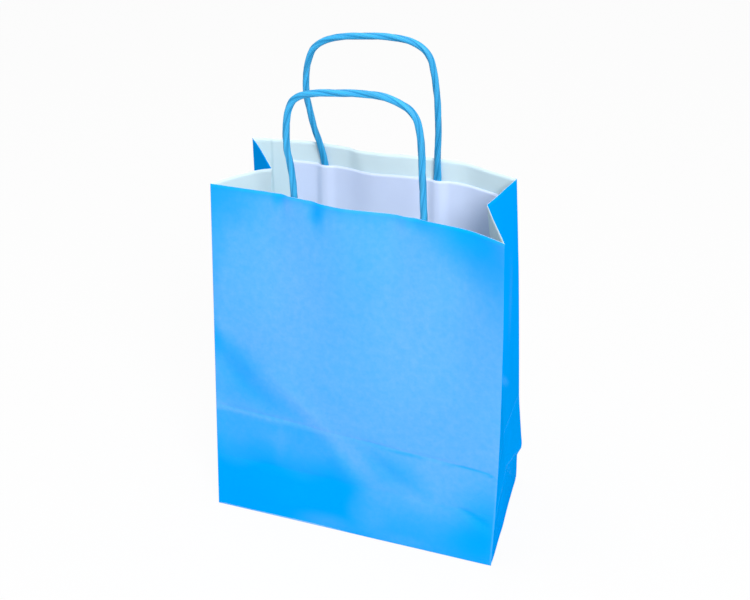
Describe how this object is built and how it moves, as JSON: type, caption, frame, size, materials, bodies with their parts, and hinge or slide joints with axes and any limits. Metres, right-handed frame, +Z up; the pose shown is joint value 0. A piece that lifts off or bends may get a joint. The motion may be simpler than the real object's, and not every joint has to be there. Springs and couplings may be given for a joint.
{
  "type": "paper carrier bag with twisted paper handles",
  "caption": "Open block-bottom paper carrier bag with folded side gussets and a twisted paper cord handle on each panel, held by an inside patch.",
  "frame": {"origin": "on the surface the bag stands on, under the middle of the base", "axes": "+Z up, the longest way of the bag with its handles; +X to the right along the front panel; the front panel faces -Y"},
  "size_m": [0.1854, 0.0973, 0.2936],
  "materials": {
    "blue_paper": "satin coated paper, blue outside and white inside",
    "blue_cord": "matt twisted paper cord",
    "white_paper": "matt uncoated paper"
  },
  "bodies": {
    "root": {"bag_body": "blue_paper", "front_handle": "blue_cord", "back_handle": "blue_cord", "front_handle_patch": "white_paper", "back_handle_patch": "white_paper"}
  },
  "joints": []
}
